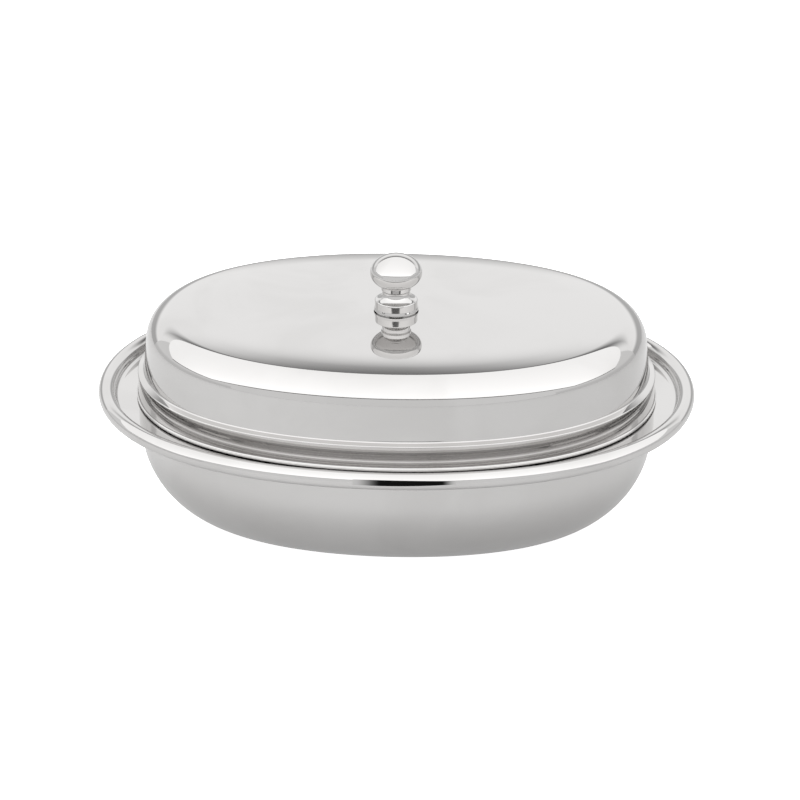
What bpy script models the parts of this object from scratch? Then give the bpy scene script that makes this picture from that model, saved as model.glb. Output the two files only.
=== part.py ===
# Oval covered butter dish in polished stainless steel.
# Metres, +Z up. The origin is under the middle of the dish, on the surface it stands on; +X is its length.

from math import cos, pi, radians, sin, tan

import bmesh
import bpy

# Driving dimensions. An inset is measured inwards from the outline of the rolled rim.
dish_length = 0.1900  # over the rolled rim
dish_width = 0.1450
dish_height = 0.0460  # table to the top of the rim
oval_fullness = 0.055  # 0 is a true ellipse, and more fills out its corners
dish_sheet = 0.0008
gap = 0.0003  # kept between pieces that touch

rim_radius = 0.0026  # outside of the rolled bead
rim_curl = radians(292.5)  # how far the edge is rolled, from the inner wall over and round
ledge_inset = 0.0069  # foot of the rim's inner wall
ledge_drop = 0.0043  # rim top to the ledge
ledge_fillet = 0.0008
bowl_inset = 0.01405  # inner face of the bowl's wall
bowl_lip_radius = 0.0014  # rounded edge from the ledge into the bowl
bowl_curve_width = 0.0325  # how far the wall curves in under the bowl
bowl_curve_height = 0.0305

lid_sheet = 0.0007
lid_height = 0.0282  # foot to the middle of the top
foot_clearance = 0.0041  # rim's inner wall to the edge of the lid's foot
foot_flare = 0.0017
skirt_height = 0.0072  # foot to the step
step_width = 0.0020
step_rise = 0.0011
step_edge = 0.0004  # rounded corner of the step
wall_lean = radians(5)
shoulder_radius = 0.0088
top_crown = 0.0004  # how much the top rises from its shoulder to the knob

knob_height = 0.0184
knob_head_radius = 0.0082
knob_head_level = 0.0123  # base to the widest point of the head
knob_head_underside = 0.0053
knob_head_end = radians(-55)  # where the head's curve gives way to the neck
knob_neck_radius = 0.0043
knob_neck_level = 0.0055
knob_neck_curve = 0.00075
knob_neck_turn = radians(55)  # its curve, above and below the narrowest point
knob_collar_radius = 0.00675
knob_collar_level = 0.0022
knob_collar_curve_width = 0.0019
knob_collar_curve_height = 0.0008
knob_collar_start = radians(75)  # where the collar's rounded top begins
knob_lip_radius = 0.0070
knob_lip_height = 0.0006
knob_lip_slope = 0.0003  # between the lip and the collar above it
seat_margin = 0.0010  # flat of the lid's top outside the knob

screw_radius = 0.0020
screw_length = 0.0100
screw_chamfer = 0.0004
screw_head_radius = 0.0040
screw_head_height = 0.0024
screw_head_side = 0.0008
recess_length = 0.0044
recess_width = 0.0011
recess_depth = 0.0012
tip_clearance = 0.0014  # screw tip to the end of the knob's hole
washer_radius = 0.0046
washer_thickness = 0.0008

oval_segments = 64
turned_segments = 40
screw_segments = 24

# Levels and places worked out from them.
rim_centre = dish_height - rim_radius
ledge_level = dish_height - ledge_drop
foot_level = ledge_level + gap
skirt_inset = ledge_inset + foot_clearance + foot_flare
hole_radius = screw_radius + gap
seat_radius = knob_lip_radius + seat_margin
washer_level = lid_height - lid_sheet - gap - washer_thickness  # from the lid's foot, as are the next two
screw_level = washer_level - gap
knob_level = lid_height + gap
hole_depth = screw_level + screw_length - knob_level + tip_clearance


def steel(name, colour, roughness):
    material = bpy.data.materials.new(name)
    material.use_nodes = True
    shader = material.node_tree.nodes["Principled BSDF"]
    shader.inputs["Base Color"].default_value = (*colour, 1)
    shader.inputs["Metallic"].default_value = 1
    shader.inputs["Roughness"].default_value = roughness
    return material


def add_object(name, bm, material, parent=None, height=0):
    """Turns a finished bmesh into a smooth-shaded object, standing at a height above its parent."""
    mesh = bpy.data.meshes.new(name)
    bm.to_mesh(mesh)
    bm.free()
    mesh.materials.append(material)
    mesh.shade_smooth()
    mesh.set_sharp_from_angle(angle=radians(40))
    made = bpy.data.objects.new(name, mesh)
    bpy.context.scene.collection.objects.link(made)
    made.parent = parent
    made.location.z = height
    return made


def arc(centre, radii, start, end, steps):
    """Points along an elliptical arc, both ends included."""
    angles = [start + (end - start) * i / steps for i in range(steps + 1)]
    return [(centre[0] + radii[0] * cos(a), centre[1] + radii[1] * sin(a)) for a in angles]


def oval(inset, height):
    """A ring that follows the dish's outline: half length, half width, height and fullness."""
    return dish_length / 2 - inset, dish_width / 2 - inset, height, oval_fullness


def disc(radius, height):
    return radius, radius, height, 0


def add_ring(bm, ring, capped):
    half_length, half_width, height, fullness = ring
    verts = bmesh.ops.create_circle(bm, segments=oval_segments, radius=1, cap_ends=capped)["verts"]
    for vert in verts:
        x, y, _ = vert.co
        vert.co.x = half_length * x * (1 + fullness * y**2)
        vert.co.y = half_width * y * (1 + fullness * x**2)
        vert.co.z = height
    return verts


def pressed_sheet(rings, closed_middle):
    """A sheet pressed through a row of rings, its upper side first; closed_middle fills the first ring."""
    bm = bmesh.new()
    before = add_ring(bm, rings[0], closed_middle)
    for ring in rings[1:]:
        after = add_ring(bm, ring, False)
        for i in range(oval_segments):
            bm.faces.new((before[i - 1], after[i - 1], after[i], before[i]))
        before = after
    bmesh.ops.recalc_face_normals(bm, faces=bm.faces)
    bm.normal_update()
    bm.faces.ensure_lookup_table()
    if bm.faces[0].normal.z < 0:
        bmesh.ops.reverse_faces(bm, faces=bm.faces)
    return bm


def thicken(piece, thickness):
    solid = piece.modifiers.new("sheet", "SOLIDIFY")
    solid.thickness = thickness
    solid.offset = -1
    solid.use_even_offset = True


def turned(profile, segments):
    """Spins (radius, height) points, listed from the axis down the outside and back to the axis."""
    bm = bmesh.new()
    verts = [bm.verts.new((radius, 0, height)) for radius, height in profile]
    edges = [bm.edges.new(pair) for pair in zip(verts, verts[1:])]
    if profile[0][0] > 0:
        edges.append(bm.edges.new((verts[-1], verts[0])))
    bmesh.ops.spin(
        bm, geom=verts + edges, cent=(0, 0, 0), axis=(0, 0, 1), angle=2 * pi, steps=segments, use_merge=True
    )
    bmesh.ops.remove_doubles(bm, verts=bm.verts, dist=0.000001)
    bmesh.ops.recalc_face_normals(bm, faces=bm.faces)
    return bm


def dish(material):
    """One pressed sheet: bowl, ledge for the lid, short inner wall and rolled rim."""
    curve_centre = (bowl_inset + bowl_curve_width, dish_sheet + bowl_curve_height)
    lip_centre = (bowl_inset - bowl_lip_radius, ledge_level - bowl_lip_radius)
    fillet_centre = (ledge_inset + ledge_fillet, ledge_level + ledge_fillet)
    path = arc(curve_centre, (bowl_curve_width, bowl_curve_height), -pi / 2, -pi, 7)
    path += arc(lip_centre, (bowl_lip_radius, bowl_lip_radius), 0, pi / 2, 3)
    path += arc(fillet_centre, (ledge_fillet, ledge_fillet), -pi / 2, -pi, 2)
    path += arc((rim_radius, rim_centre), (rim_radius, rim_radius), 0, rim_curl, 13)
    bm = pressed_sheet([oval(*point) for point in path], True)
    thicken(add_object("dish", bm, material), dish_sheet)


def lid(material, parent):
    """One pressed sheet: crowned top with a screw hole, shoulder, wall, step, skirt and flared foot."""
    shoulder_top = lid_height - top_crown
    wall_foot = (skirt_inset + step_width, skirt_height + step_rise)
    tangent_level = shoulder_top - shoulder_radius * (1 - sin(wall_lean))
    tangent_inset = wall_foot[0] + (tangent_level - wall_foot[1]) * tan(wall_lean)
    shoulder_centre = (tangent_inset + shoulder_radius * cos(wall_lean), shoulder_top - shoulder_radius)
    edge_centre = (skirt_inset + step_edge, skirt_height - step_edge)
    flare_centre = (ledge_inset + foot_clearance, lid_sheet + foot_flare)

    seat = disc(seat_radius, lid_height)
    crown_edge = oval(shoulder_centre[0], shoulder_top)
    rings = [disc(hole_radius, lid_height), seat]
    for share in (0.3, 0.6, 0.8):
        between = [near + (far - near) * share for near, far in zip(seat, crown_edge)]
        between[2] = lid_height - top_crown * share**2
        rings.append(between)
    path = arc(shoulder_centre, (shoulder_radius, shoulder_radius), pi / 2, pi - wall_lean, 6)
    path.append(wall_foot)
    path += arc(edge_centre, (step_edge, step_edge), pi / 2, pi, 2)
    path += arc(flare_centre, (foot_flare, foot_flare), 0, -pi / 2, 3)
    bm = pressed_sheet(rings + [oval(*point) for point in path], False)
    thicken(add_object("lid", bm, material, parent), lid_sheet)


def knob(material, parent):
    head_centre = (0, knob_head_level)
    neck_centre = (knob_neck_radius + knob_neck_curve, knob_neck_level)
    collar_centre = (knob_collar_radius - knob_collar_curve_width, knob_collar_level)
    profile = arc(head_centre, (knob_head_radius, knob_height - knob_head_level), pi / 2, 0, 7)
    profile += arc(head_centre, (knob_head_radius, knob_head_underside), 0, knob_head_end, 4)[1:]
    neck_curve = (knob_neck_curve, knob_neck_curve)
    profile += arc(neck_centre, neck_curve, pi - knob_neck_turn, pi + knob_neck_turn, 4)
    collar_curve = (knob_collar_curve_width, knob_collar_curve_height)
    profile += arc(collar_centre, collar_curve, knob_collar_start, 0, 4)
    profile += [
        (knob_collar_radius, knob_lip_height + knob_lip_slope),
        (knob_lip_radius, knob_lip_height),
        (knob_lip_radius, 0),
        (hole_radius, 0),
        (hole_radius, hole_depth),
        (0, hole_depth),
    ]
    add_object("knob", turned(profile, turned_segments), material, parent, knob_level)


def washer(material, parent):
    profile = [
        (washer_radius, washer_thickness),
        (washer_radius, 0),
        (hole_radius, 0),
        (hole_radius, washer_thickness),
    ]
    add_object("washer", turned(profile, screw_segments), material, parent, washer_level)


def recess_cutter(turn, parent):
    bm = bmesh.new()
    bmesh.ops.create_cube(bm, size=1)
    bmesh.ops.scale(bm, vec=(recess_length, recess_width, 2 * recess_depth), verts=bm.verts)
    mesh = bpy.data.meshes.new("recess")
    bm.to_mesh(mesh)
    bm.free()
    cutter = bpy.data.objects.new("recess_cutter", mesh)
    bpy.context.scene.collection.objects.link(cutter)
    cutter.parent = parent
    cutter.location.z = screw_level - screw_head_height
    cutter.rotation_euler.z = turn
    cutter.hide_render = True
    cutter.display_type = "WIRE"
    return cutter


def knob_screw(material, parent):
    """Pan-head screw that comes up through the washer and the lid into the knob."""
    dome = arc(
        (0, -screw_head_side), (screw_head_radius, screw_head_height - screw_head_side), 0, -pi / 2, 5
    )
    profile = [
        (0, screw_length),
        (screw_radius - screw_chamfer, screw_length),
        (screw_radius, screw_length - screw_chamfer),
        (screw_radius, 0),
        (screw_head_radius, 0),
    ]
    made = add_object("knob_screw", turned(profile + dome, screw_segments), material, parent, screw_level)
    for turn in (0, pi / 2):
        cut = made.modifiers.new("cross recess", "BOOLEAN")
        cut.object = recess_cutter(turn, parent)
        cut.solver = "EXACT"


def build():
    for thing in list(bpy.data.objects):
        bpy.data.objects.remove(thing)
    polished = steel("polished_steel", (0.78, 0.78, 0.79), 0.05)
    plain = steel("screw_steel", (0.62, 0.62, 0.62), 0.3)
    dish(polished)
    lift = bpy.data.objects.new("lid_lift", None)
    lift.location.z = foot_level
    bpy.context.scene.collection.objects.link(lift)
    lid(polished, lift)
    knob(polished, lift)
    washer(plain, lift)
    knob_screw(plain, lift)


build()
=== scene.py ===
from math import cos, hypot, pi, radians, sin, tan

import bmesh
import bpy
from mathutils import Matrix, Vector


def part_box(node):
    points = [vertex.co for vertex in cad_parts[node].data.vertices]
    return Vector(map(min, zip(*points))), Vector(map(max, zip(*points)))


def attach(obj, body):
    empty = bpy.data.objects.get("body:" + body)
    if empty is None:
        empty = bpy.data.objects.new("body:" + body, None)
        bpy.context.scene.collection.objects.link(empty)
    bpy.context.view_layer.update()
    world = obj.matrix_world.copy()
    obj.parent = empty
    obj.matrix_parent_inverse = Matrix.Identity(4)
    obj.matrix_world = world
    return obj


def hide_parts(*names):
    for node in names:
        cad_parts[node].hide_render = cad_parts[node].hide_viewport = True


# Oval covered butter dish in mirror-polished stainless steel.
# Metres, +Z up, standing on the floor at z = 0.

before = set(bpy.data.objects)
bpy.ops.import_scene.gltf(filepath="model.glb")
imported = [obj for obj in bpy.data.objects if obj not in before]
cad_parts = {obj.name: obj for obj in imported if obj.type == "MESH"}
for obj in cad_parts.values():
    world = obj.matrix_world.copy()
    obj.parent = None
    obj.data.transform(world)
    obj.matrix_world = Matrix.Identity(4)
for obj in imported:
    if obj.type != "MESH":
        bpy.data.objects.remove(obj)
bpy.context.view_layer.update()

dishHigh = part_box("dish")[1]
lidLow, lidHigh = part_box("lid")
knobLow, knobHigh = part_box("knob")

outline = {  # the oval that every pressed edge follows
    "halfLength": dishHigh.x,
    "halfWidth": dishHigh.y,
    "fullness": 0.055,  # 0 is a true ellipse, more fills out its corners
    "steps": 192,
}
narrowing = outline["halfLength"] - outline["halfWidth"]
tiny = 1e-6  # points closer than this are one


def arcPoints(centre, radii, start, end, steps):
    # points along an elliptical arc, angles in degrees, both ends included
    angles = [radians(start + (end - start) * i / steps) for i in range(steps + 1)]
    return [(centre[0] + radii[0] * cos(a), centre[1] + radii[1] * sin(a)) for a in angles]


def linePoints(start, end, steps, hold=0.00015):
    # points between two ends, one held close to each end so that the smooth shading stays in the bends
    held = min(hold / hypot(end[0] - start[0], end[1] - start[1]), 0.4 / steps)
    shares = [held] + [i / steps for i in range(1, steps)] + [1 - held]
    return [tuple(a + (b - a) * share for a, b in zip(start, end)) for share in shares]


def spinProfile(profile, steps):
    # a row of (reach, height) points turned once round the upright axis
    bm = bmesh.new()
    verts = [bm.verts.new((reach, 0, height)) for reach, height in profile]
    edges = [bm.edges.new(pair) for pair in zip(verts, verts[1:])]
    bmesh.ops.spin(
        bm, geom=verts + edges, cent=(0, 0, 0), axis=(0, 0, 1), angle=2 * pi, steps=steps, use_merge=True
    )
    bmesh.ops.remove_doubles(bm, verts=bm.verts, dist=tiny)
    bmesh.ops.recalc_face_normals(bm, faces=bm.faces)
    return bm


def pressOval(bm, knots):
    # squeezes a round shell into the oval; a knot is (reach along the length, half width, fullness)
    for vert in bm.verts:
        reach = hypot(vert.co.x, vert.co.y)
        if reach < tiny:
            continue
        c, s = vert.co.x / reach, vert.co.y / reach
        for near, far in zip(knots, knots[1:]):
            if reach <= far[0] or far is knots[-1]:
                share = (reach - near[0]) / (far[0] - near[0])
                width = near[1] + (far[1] - near[1]) * share
                fullness = near[2] + (far[2] - near[2]) * min(share, 1)
                break
        vert.co.x = reach * c * (1 + fullness * s * s)
        vert.co.y = width * s * (1 + fullness * c * c)


def placePiece(bm, name, material, body, node, sharpAngle=50):
    mesh = bpy.data.meshes.new(name)
    bm.to_mesh(mesh)
    bm.free()
    mesh.shade_smooth()
    mesh.set_sharp_from_angle(angle=radians(sharpAngle))
    mesh.materials.append(material)
    made = bpy.data.objects.new(name, mesh)
    bpy.context.scene.collection.objects.link(made)
    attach(made, body)
    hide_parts(node)
    return made


def pressSheet(name, path, knots, thickness, material, body, node):
    # a pressed sheet: path holds (inset from the outline, height), its upper side first
    edge = outline["halfLength"]
    bm = spinProfile([(edge - inset, height) for inset, height in path], outline["steps"])
    pressOval(bm, knots)
    bm.normal_update()
    middle = min(bm.faces, key=lambda face: face.calc_center_median().xy.length)
    if middle.normal.z < 0:  # the upper side faces up
        bmesh.ops.reverse_faces(bm, faces=bm.faces)
    made = placePiece(bm, name, material, body, node, sharpAngle=60)
    wall = made.modifiers.new("sheet", "SOLIDIFY")
    wall.thickness = thickness
    wall.offset = -1
    wall.use_even_offset = True


steelLook = {
    "colour": (0.612, 0.604, 0.598),
    "colourDull": (0.580, 0.572, 0.565),
    "cloudScale": 26,  # handled, slightly hazy patches
    "cloudTwist": 0.6,
    "dullEdges": (0.42, 0.66),  # share of cloud where the colour goes from clean to dull
    "hazeEdges": (0.40, 0.70),  # share of cloud where the gloss goes from clean to hazy
    "roughness": (0.022, 0.050),  # clean and hazy
    "lineScale": 420,  # fine polishing lines
    "lineTwist": 6,
    "lineDetail": (3, 0.4),  # how much, and its scale
    "linePatchScale": 60,  # the lines come and go in patches
    "linePatchEdges": (0.45, 0.65),
    "lineRoughness": 0.010,
    "lineBump": 0.004,
    "lineHeight": 0.00002,
    "waveScale": 17,  # the sheet is never quite even
    "waveBump": 0.14,
    "waveHeight": 0.00014,
    "rubs": [],  # (level, half height, added roughness) where something rubs
    "rubCore": 0.4,  # share of a rub's half height that is fully worn
    "scuffScale": 240,  # a rub is made of short scuffs
    "scuffTwist": 1.5,
    "scuffEdges": (0.42, 0.62),
    "scuffLeast": 0.15,
}


def steelMaterial(name, look):
    material = bpy.data.materials.new(name)
    material.use_nodes = True
    nodes, links = material.node_tree.nodes, material.node_tree.links
    shader = nodes["Principled BSDF"]
    shader.inputs["Metallic"].default_value = 1
    place = nodes.new("ShaderNodeTexCoord").outputs["Object"]

    def noise(scale, detail, twist=0.0):
        made = nodes.new("ShaderNodeTexNoise")
        made.inputs["Scale"].default_value = scale
        made.inputs["Detail"].default_value = detail
        made.inputs["Distortion"].default_value = twist
        links.new(place, made.inputs["Vector"])
        return made.outputs["Fac"]

    def remap(source, low, high, start, end):
        made = nodes.new("ShaderNodeMapRange")
        made.interpolation_type = "SMOOTHSTEP"
        for socket, value in zip(("From Min", "From Max", "To Min", "To Max"), (low, high, start, end)):
            made.inputs[socket].default_value = value
        links.new(source, made.inputs["Value"])
        return made.outputs["Result"]

    def combine(operation, first, second=0):
        made = nodes.new("ShaderNodeMath")
        made.operation = operation
        for socket, value in zip(made.inputs, (first, second)):
            if isinstance(value, (int, float)):
                socket.default_value = value
            else:
                links.new(value, socket)
        return made.outputs[0]

    cloud = noise(look["cloudScale"], 4, look["cloudTwist"])
    tint = nodes.new("ShaderNodeMix")
    tint.data_type = "RGBA"
    tint.inputs[6].default_value = (*look["colour"], 1)
    tint.inputs[7].default_value = (*look["colourDull"], 1)
    links.new(remap(cloud, *look["dullEdges"], 0, 1), tint.inputs[0])
    links.new(tint.outputs[2], shader.inputs["Base Color"])

    # polishing lines run round the piece
    lines = nodes.new("ShaderNodeTexWave")
    lines.wave_type = "RINGS"
    lines.rings_direction = "Z"
    lines.inputs["Scale"].default_value = look["lineScale"]
    lines.inputs["Distortion"].default_value = look["lineTwist"]
    lines.inputs["Detail"].default_value, lines.inputs["Detail Scale"].default_value = look["lineDetail"]
    links.new(place, lines.inputs["Vector"])
    patches = remap(noise(look["linePatchScale"], 3), *look["linePatchEdges"], 0, 1)
    lineMask = combine("MULTIPLY", lines.outputs["Fac"], patches)

    rough = remap(cloud, *look["hazeEdges"], *look["roughness"])
    rough = combine("ADD", rough, combine("MULTIPLY", lineMask, look["lineRoughness"]))
    height = nodes.new("ShaderNodeSeparateXYZ")
    links.new(place, height.inputs[0])
    for level, reach, added in look["rubs"]:
        distance = combine("ABSOLUTE", combine("SUBTRACT", height.outputs["Z"], level))
        band = remap(distance, reach, reach * look["rubCore"], 0, added)
        scuffs = noise(look["scuffScale"], 5, look["scuffTwist"])
        scuffs = remap(scuffs, *look["scuffEdges"], look["scuffLeast"], 1)
        rough = combine("ADD", rough, combine("MULTIPLY", band, scuffs))
    links.new(rough, shader.inputs["Roughness"])

    wave = nodes.new("ShaderNodeBump")
    wave.inputs["Strength"].default_value = look["waveBump"]
    wave.inputs["Distance"].default_value = look["waveHeight"]
    links.new(noise(look["waveScale"], 1), wave.inputs["Height"])
    fine = nodes.new("ShaderNodeBump")
    fine.inputs["Strength"].default_value = look["lineBump"]
    fine.inputs["Distance"].default_value = look["lineHeight"]
    links.new(lineMask, fine.inputs["Height"])
    links.new(wave.outputs["Normal"], fine.inputs["Normal"])
    links.new(fine.outputs["Normal"], shader.inputs["Normal"])
    return material


dishSizes = {
    "sheet": 0.0008,
    "beadRadius": 0.0026,
    "beadCurl": 292.5,  # how far the edge is rolled round
    "ledgeInset": 0.0054,  # the rim's inner wall
    "ledgeDrop": 0.0043,
    "ledgeFillet": 0.0012,
    "bowlInset": 0.01405,
    "lipRadius": 0.0014,
    "curveWidth": 0.0325,
    "curveHeight": 0.0305,
    "ledgeRub": (0.0005, 0.06),  # half height and added roughness where the lid stands
    "baseRub": (0.0012, 0.16),  # where it slides on the table
    "rimRub": (0.0004, 0.03),
}


def buildDish(sizes):
    edge, top, sheet = outline["halfLength"], dishHigh.z, sizes["sheet"]
    ledge = top - sizes["ledgeDrop"]
    bead, fillet, lip = sizes["beadRadius"], sizes["ledgeFillet"], sizes["lipRadius"]
    curveCentre = (sizes["bowlInset"] + sizes["curveWidth"], sheet + sizes["curveHeight"])
    lipCentre = (sizes["bowlInset"] - lip, ledge - lip)
    filletCentre = (sizes["ledgeInset"] + fillet, ledge + fillet)
    path = [(edge, sheet)] + linePoints((edge, sheet), (curveCentre[0], sheet), 6)
    path += arcPoints(curveCentre, (sizes["curveWidth"], sizes["curveHeight"]), -90, -180, 26)
    path += linePoints(path[-1], (lipCentre[0] + lip, lipCentre[1]), 4)
    path += arcPoints(lipCentre, (lip, lip), 0, 90, 10)
    path += linePoints(path[-1], (filletCentre[0], ledge), 3)
    path += arcPoints(filletCentre, (fillet, fillet), -90, -180, 8)
    path += linePoints(path[-1], (2 * bead, top - bead), 1, hold=0.0001)
    path += arcPoints((bead, top - bead), (bead, bead), 0, sizes["beadCurl"], 44)
    full, floorReach = outline["fullness"], edge - curveCentre[0]
    knots = [(0, 0, full), (floorReach, floorReach - narrowing, full), (edge, edge - narrowing, full)]
    rubs = [(ledge, *sizes["ledgeRub"]), (0, *sizes["baseRub"]), (top, *sizes["rimRub"])]
    material = steelMaterial("dishSteel", {**steelLook, "rubs": rubs})
    pressSheet("dishShell", path, knots, sheet, material, "dish_body", "dish")


buildDish(dishSizes)
print("dish pressed, rim rolled")

lidSizes = {
    "sheet": 0.0007,
    "holeRadius": 0.0023,
    "seatRadius": 0.0080,
    "crown": 0.0008,  # rise of the top from its shoulder to the knob
    "crownPower": 6,  # more keeps the middle flatter
    "crownSteps": 25,
    "shoulderRadius": 0.0088,
    "shoulderStart": 5,  # where the top's slope runs into the shoulder
    "wallLean": 5,
    "wallFillet": 0.0005,
    "filletLift": 0.9,  # the fillet's centre over the wall's foot, in fillet radii
    "skirtInset": 0.0127,
    "skirtHeight": 0.0081,
    "stepWidth": 0.0020,
    "stepRise": 0.0004,
    "stepSlope": 8,
    "stepEdge": 0.0003,
    "flare": 0.0005,
    "footRub": (0.0006, 0.08),  # half height and added roughness where it stands on the ledge
}


def buildLid(sizes):
    edge, foot, top = outline["halfLength"], lidLow.z, lidHigh.z
    lean = radians(sizes["wallLean"])
    shoulder, shoulderTop = sizes["shoulderRadius"], top - sizes["crown"]
    skirtTop = foot + sizes["skirtHeight"]
    wallFoot = (sizes["skirtInset"] + sizes["stepWidth"], skirtTop + sizes["stepRise"])
    tangentLevel = shoulderTop - shoulder * (1 - sin(lean))
    tangentInset = wallFoot[0] + (tangentLevel - wallFoot[1]) * tan(lean)
    shoulderCentre = (tangentInset + shoulder * cos(lean), shoulderTop - shoulder)
    crownReach, seat = edge - shoulderCentre[0], sizes["seatRadius"]
    path = [(edge - sizes["holeRadius"], top), (edge - seat, top)]
    for i in range(1, sizes["crownSteps"]):
        share = i / sizes["crownSteps"]
        drop = sizes["crown"] * share ** sizes["crownPower"]
        path.append((edge - seat - (crownReach - seat) * share, top - drop))
    shoulderTurn = 90 + sizes["shoulderStart"], 180 - sizes["wallLean"]
    path += arcPoints(shoulderCentre, (shoulder, shoulder), *shoulderTurn, 30)
    fillet, slope = sizes["wallFillet"], sizes["stepSlope"]
    filletCentre = (wallFoot[0] - fillet, wallFoot[1] + fillet * sizes["filletLift"])
    wallEnd = (filletCentre[0] + fillet * cos(lean), filletCentre[1] + fillet * sin(lean))
    path += linePoints(path[-1], wallEnd, 6)
    path += arcPoints(filletCentre, (fillet, fillet), sizes["wallLean"], slope - 90, 8)
    stepEdge = sizes["stepEdge"]
    stepCentre = (sizes["skirtInset"] + stepEdge, skirtTop - stepEdge)
    stepArc = arcPoints(stepCentre, (stepEdge, stepEdge), 90 + slope, 180, 6)
    path += linePoints(path[-1], stepArc[0], 2, hold=0.0001) + stepArc
    flare = sizes["flare"]
    flareCentre = (sizes["skirtInset"] - flare, foot + sizes["sheet"] + flare)
    path += linePoints(path[-1], (sizes["skirtInset"], flareCentre[1]), 4)
    path += arcPoints(flareCentre, (flare, flare), 0, -90, 10)
    full = outline["fullness"]
    knots = [(0, 0, 0), (seat, seat, 0)]
    knots += [(crownReach, crownReach - narrowing, full), (edge, edge - narrowing, full)]
    material = steelMaterial("lidSteel", {**steelLook, "rubs": [(foot, *sizes["footRub"])]})
    pressSheet("lidShell", path, knots, sizes["sheet"], material, "lid_body", "lid")


buildLid(lidSizes)
print("lid pressed")

knobSizes = {
    "headRadius": 0.0082,
    "headLevel": 0.0123,
    "headUnderside": 0.0053,
    "headEnd": -55,
    "neckRadius": 0.0044,
    "neckLevel": 0.0062,
    "neckCurve": 0.0007,
    "neckTurn": 58,
    "coveWidth": 0.0023,  # the hollow from the neck down to the collar
    "coveHeight": 0.0028,
    "coveTurn": 80,
    "collarRadius": 0.00675,
    "collarEdge": 0.0004,
    "collarTurn": 70,
    "lipRadius": 0.0070,
    "lipHeight": 0.0006,
    "lipSlope": 0.0003,
    "boreRadius": 0.0023,
    "boreDepth": 0.0093,
    "steps": 128,
    "baseRub": (0.0008, 0.05),  # half height and added roughness where it meets the lid
}
knobLook = {
    **steelLook,
    "cloudScale": 90,
    "lineScale": 900,
    "waveBump": 0.0,  # turned solid, so its surface is even
    "roughness": (0.020, 0.060),
}


def buildKnob(sizes):
    base, height = knobLow.z, knobHigh.z - knobLow.z
    head = (0, sizes["headLevel"])
    neck = (sizes["neckRadius"] + sizes["neckCurve"], sizes["neckLevel"])
    cove = (sizes["neckRadius"] + sizes["coveWidth"], sizes["neckLevel"])
    path = arcPoints(head, (sizes["headRadius"], height - sizes["headLevel"]), 90, 0, 36)
    path += arcPoints(head, (sizes["headRadius"], sizes["headUnderside"]), 0, sizes["headEnd"], 20)[1:]
    curve = sizes["neckCurve"]
    path += arcPoints(neck, (curve, curve), 180 - sizes["neckTurn"], 180, 8)
    path += arcPoints(cove, (sizes["coveWidth"], sizes["coveHeight"]), 180, 180 + sizes["coveTurn"], 20)[1:]
    edge = (sizes["collarRadius"] - sizes["collarEdge"], path[-1][1] - sizes["collarEdge"])
    path += arcPoints(edge, (sizes["collarEdge"], sizes["collarEdge"]), sizes["collarTurn"], 0, 6)
    lipTop = (sizes["lipRadius"], sizes["lipHeight"])
    collarFoot = (sizes["collarRadius"], sizes["lipHeight"] + sizes["lipSlope"])
    path += linePoints(path[-1], collarFoot, 3) + [collarFoot, lipTop, (sizes["lipRadius"], 0)]
    path += [(sizes["boreRadius"], 0), (sizes["boreRadius"], sizes["boreDepth"]), (0, sizes["boreDepth"])]
    bm = spinProfile([(reach, base + level) for reach, level in path], sizes["steps"])
    material = steelMaterial("knobSteel", {**knobLook, "rubs": [(base, *sizes["baseRub"])]})
    placePiece(bm, "knobTurned", material, "lid_body", "knob")


buildKnob(knobSizes)

fastenerLook = {
    **steelLook,
    "colour": (0.55, 0.545, 0.54),
    "colourDull": (0.44, 0.435, 0.43),
    "cloudScale": 160,
    "roughness": (0.20, 0.36),
    "lineScale": 1500,  # left by the lathe
    "lineRoughness": 0.08,
    "lineBump": 0.25,
    "waveScale": 300,
    "waveBump": 0.15,
    "waveHeight": 0.00004,
}
plainSteel = steelMaterial("fastenerSteel", fastenerLook)
for node in ("washer", "knob_screw"):
    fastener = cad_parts[node]
    for holder in fastener.material_slots:
        holder.material = plainSteel
print("knob turned and fastened")

studio = {
    "cameraTurn": 3.5,
    "cameraRise": 24,
    "cameraDistance": 1.117,
    "lens": 157.5,
    "sensor": 36,
    "aim": (0, 0, 0.0434),
    "shift": (0.00475, -0.01625),
    "clip": (0.05, 20),
    "ceiling": {"level": 0.318, "front": -0.56, "back": 0.27, "half": 1.3, "light": (1.75, 1.42)},
    "seam": {"drop": 0.034, "light": 0.24},  # dark strips that hang from the ceiling's edges
    # a soft dark strip behind the ceiling's back edge, which fades out away from the middle
    "shade": {"gap": 0.005, "low": 0.212, "fade": (0.08, 0.38), "light": (0.16, 1.20)},
    # the back and side walls are dimmer below, and brighten between two levels
    "wallBack": {"y": 1.0, "foot": -0.1, "levels": (0.20, 0.36), "light": (0.58, 1.20)},
    "wallFront": {"y": -0.95, "foot": 0, "light": 0.92},
    "wallSide": {"x": 1.35, "foot": 0, "levels": (0.10, 0.26), "light": (0.75, 0.92)},
    "wallHalf": 1.5,
    "wallTop": 1.6,
    # a small dark card just ahead of the rim, lighter at both ends
    "rimShade": {"along": (-0.009, -0.0004, 0.0185, 0.0230), "light": (0.85, 0.01, 0.01, 0.85)},
    "rimShadeAhead": 0.0011,
    "rimShadeLevels": (0.0422, 0.0459),
    "floorHalf": 4,
    "floorSeen": {"level": -0.0002, "tone": 0.95, "light": (0.9, 0.9)},
    "floorMirrored": {"level": -0.0006, "tone": 0.36, "light": (0.37, 0.29)},  # left and right
    "floorFade": (-0.3, 0.3),
    "sky": {"colour": (1, 1, 1, 1), "light": 1.0},
    "softLight": {"size": (1.6, 1.2), "energy": 12, "place": (0, -0.1, 1.0)},
}


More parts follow.
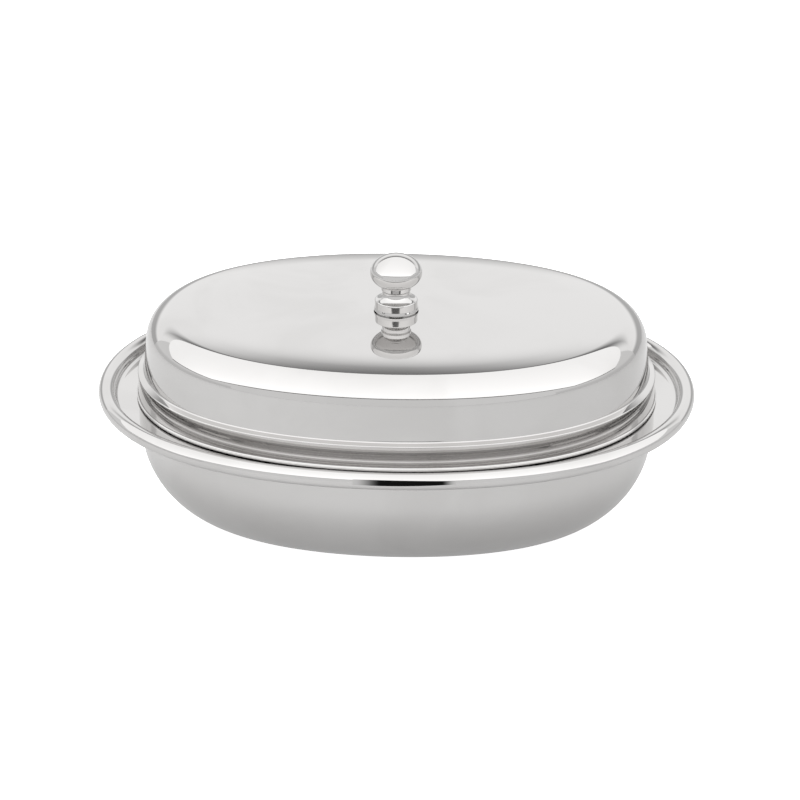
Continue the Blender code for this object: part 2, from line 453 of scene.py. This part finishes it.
def glow(name, axis, places, strengths, fadeOut=None):
    # light that changes smoothly between two places along an axis
    material = bpy.data.materials.new(name)
    material.use_nodes = True
    nodes, links = material.node_tree.nodes, material.node_tree.links
    nodes.clear()
    split = nodes.new("ShaderNodeSeparateXYZ")
    links.new(nodes.new("ShaderNodeTexCoord").outputs["Object"], split.inputs[0])
    change = nodes.new("ShaderNodeMapRange")
    change.interpolation_type = "SMOOTHSTEP"
    for socket, value in zip(("From Min", "From Max", "To Min", "To Max"), (*places, *strengths)):
        change.inputs[socket].default_value = value
    links.new(split.outputs[axis], change.inputs["Value"])
    light = nodes.new("ShaderNodeEmission")
    links.new(change.outputs["Result"], light.inputs["Strength"])
    if fadeOut:  # it also turns into the second strength away from the middle
        apart = nodes.new("ShaderNodeMath")
        apart.operation = "ABSOLUTE"
        links.new(split.outputs["X"], apart.inputs[0])
        fade = nodes.new("ShaderNodeMapRange")
        fade.interpolation_type = "SMOOTHSTEP"
        fade.inputs["From Min"].default_value, fade.inputs["From Max"].default_value = fadeOut
        fade.inputs["To Max"].default_value = strengths[1]
        links.new(apart.outputs[0], fade.inputs["Value"])
        brighter = nodes.new("ShaderNodeMath")
        brighter.operation = "MAXIMUM"
        links.new(change.outputs["Result"], brighter.inputs[0])
        links.new(fade.outputs["Result"], brighter.inputs[1])
        links.new(brighter.outputs[0], light.inputs["Strength"])
    out = nodes.new("ShaderNodeOutputMaterial")
    links.new(light.outputs["Emission"], out.inputs["Surface"])
    return material


def evenGlow(name, strength):
    return glow(name, "Z", (0, 1), (strength, strength))


def card(name, low, high, material):
    # a flat panel between two corners, seen only in reflections
    bm = bmesh.new()
    bmesh.ops.create_cube(bm, size=1)
    spread = [max(b - a, cardThickness) for a, b in zip(low, high)]
    bmesh.ops.scale(bm, vec=spread, verts=bm.verts)
    bmesh.ops.translate(bm, vec=[(a + b) / 2 for a, b in zip(low, high)], verts=bm.verts)
    mesh = bpy.data.meshes.new(name)
    bm.to_mesh(mesh)
    bm.free()
    mesh.materials.append(material)
    made = bpy.data.objects.new(name, mesh)
    bpy.context.scene.collection.objects.link(made)
    made.visible_camera = False
    made.visible_diffuse = False
    made.visible_shadow = False


cardThickness = 0.0004
room = studio["ceiling"]
half, top, front, back = room["half"], room["level"], room["front"], room["back"]
ceilingGlow = glow("ceilingGlow", "Y", (front, back), room["light"])
card("ceilingPanel", (-half, front, top), (half, back, top), ceilingGlow)
seam = evenGlow("seamGlow", studio["seam"]["light"])
low = top - studio["seam"]["drop"]
card("seamFront", (-half, front, low), (half, front, top), seam)
for x in (-half, half):
    card("seamSide", (x, front, low), (x, back, top), seam)
shade = studio["shade"]
shadeGlow = glow("shadeGlow", "Z", (top, shade["low"]), shade["light"], shade["fade"])
reach, y = shade["fade"][1], back + shade["gap"]
card("shadeBack", (-reach, y, shade["low"]), (reach, y, top), shadeGlow)

wide, high = studio["wallHalf"], studio["wallTop"]
behind, ahead, side = studio["wallBack"], studio["wallFront"], studio["wallSide"]
backGlow = glow("backGlow", "Z", behind["levels"], behind["light"])
card("wallBack", (-wide, behind["y"], behind["foot"]), (wide, behind["y"], high), backGlow)
frontGlow = evenGlow("frontGlow", ahead["light"])
card("wallFront", (-wide, ahead["y"], ahead["foot"]), (wide, ahead["y"], high), frontGlow)
sideGlow = glow("sideGlow", "Z", side["levels"], side["light"])
for x in (-side["x"], side["x"]):
    card("wallSide", (x, -wide, side["foot"]), (x, wide, high), sideGlow)

along, lights = studio["rimShade"]["along"], studio["rimShade"]["light"]
y = -outline["halfWidth"] - studio["rimShadeAhead"]
low, high = studio["rimShadeLevels"]
for near, far, *strengths in zip(along, along[1:], lights, lights[1:]):
    card("rimShade", (near, y, low), (far, y, high), glow("rimShadeGlow", "X", (near, far), strengths))

world = bpy.data.worlds.new("studioWorld")
bpy.context.scene.world = world
world.use_nodes = True
sky = world.node_tree.nodes["Background"]
sky.inputs["Color"].default_value = studio["sky"]["colour"]
sky.inputs["Strength"].default_value = studio["sky"]["light"]


def floorPlane(name, sizes, seen):
    # one floor is what the camera sees, the other what the steel mirrors
    bm = bmesh.new()
    bmesh.ops.create_grid(bm, x_segments=1, y_segments=1, size=studio["floorHalf"])
    bmesh.ops.translate(bm, vec=(0, 0, sizes["level"]), verts=bm.verts)
    mesh = bpy.data.meshes.new(name)
    bm.to_mesh(mesh)
    bm.free()
    material = glow(name, "X", studio["floorFade"], sizes["light"])
    nodes, links = material.node_tree.nodes, material.node_tree.links
    cloth = nodes.new("ShaderNodeBsdfDiffuse")
    cloth.inputs["Color"].default_value = (sizes["tone"], sizes["tone"], sizes["tone"], 1)
    both = nodes.new("ShaderNodeAddShader")
    links.new(cloth.outputs["BSDF"], both.inputs[0])
    links.new(nodes["Emission"].outputs["Emission"], both.inputs[1])
    links.new(both.outputs["Shader"], nodes["Material Output"].inputs["Surface"])
    mesh.materials.append(material)
    made = bpy.data.objects.new(name, mesh)
    bpy.context.scene.collection.objects.link(made)
    made.visible_shadow = False
    made.visible_camera = seen
    made.visible_glossy = not seen
    made.visible_diffuse = not seen


floorPlane("floorSeen", studio["floorSeen"], True)
floorPlane("floorMirrored", studio["floorMirrored"], False)

softLight = bpy.data.lights.new("softLight", "AREA")
softLight.shape = "RECTANGLE"
softLight.size, softLight.size_y = studio["softLight"]["size"]
softLight.energy = studio["softLight"]["energy"]
lamp = bpy.data.objects.new("softLight", softLight)
lamp.location = studio["softLight"]["place"]
lamp.visible_glossy = False
bpy.context.scene.collection.objects.link(lamp)

cameraData = bpy.data.cameras.new("studioCamera")
camera = bpy.data.objects.new("studioCamera", cameraData)
bpy.context.scene.collection.objects.link(camera)
cameraData.sensor_width = studio["sensor"]
cameraData.lens = studio["lens"]
cameraData.shift_x, cameraData.shift_y = studio["shift"]
cameraData.clip_start, cameraData.clip_end = studio["clip"]
turn, rise = radians(studio["cameraTurn"]), radians(studio["cameraRise"])
away = Vector((sin(turn) * cos(rise), -cos(turn) * cos(rise), sin(rise)))
camera.location = Vector(studio["aim"]) + away * studio["cameraDistance"]
camera.rotation_euler = away.to_track_quat("Z", "Y").to_euler()
bpy.context.scene.camera = camera
bpy.context.scene.view_settings.view_transform = "Standard"
print("studio lit")
